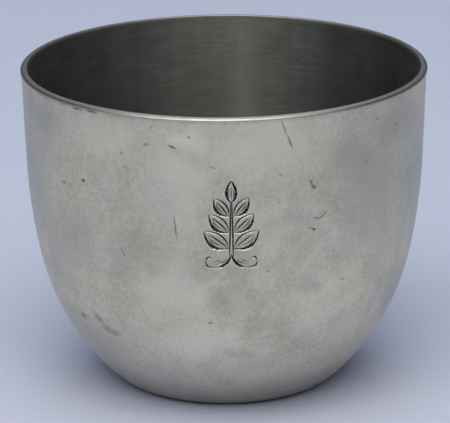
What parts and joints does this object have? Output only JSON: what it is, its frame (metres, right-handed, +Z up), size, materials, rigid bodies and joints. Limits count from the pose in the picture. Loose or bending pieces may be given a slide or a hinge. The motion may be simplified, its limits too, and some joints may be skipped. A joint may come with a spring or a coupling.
{
  "type": "jefferson cup",
  "caption": "Round-bottomed handle-less pewter tumbler with a half-round rim wire, for drinking.",
  "frame": {"origin": "centre of the plane that the cup stands on", "axes": "+Z up along the axis the cup is turned about; -Y is the side that carries the engraved ornament in the visual model"},
  "size_m": [0.0796, 0.0796, 0.0633],
  "materials": {
    "pewter_body": "spun pewter sheet, hand-rubbed satin outside with grey patina and fine scratches, turned dull satin inside",
    "pewter_rim": "half-round pewter wire, burnished bright by handling"
  },
  "bodies": {
    "root": {"cup_body": "pewter_body", "rim_wire": "pewter_rim"}
  },
  "joints": []
}
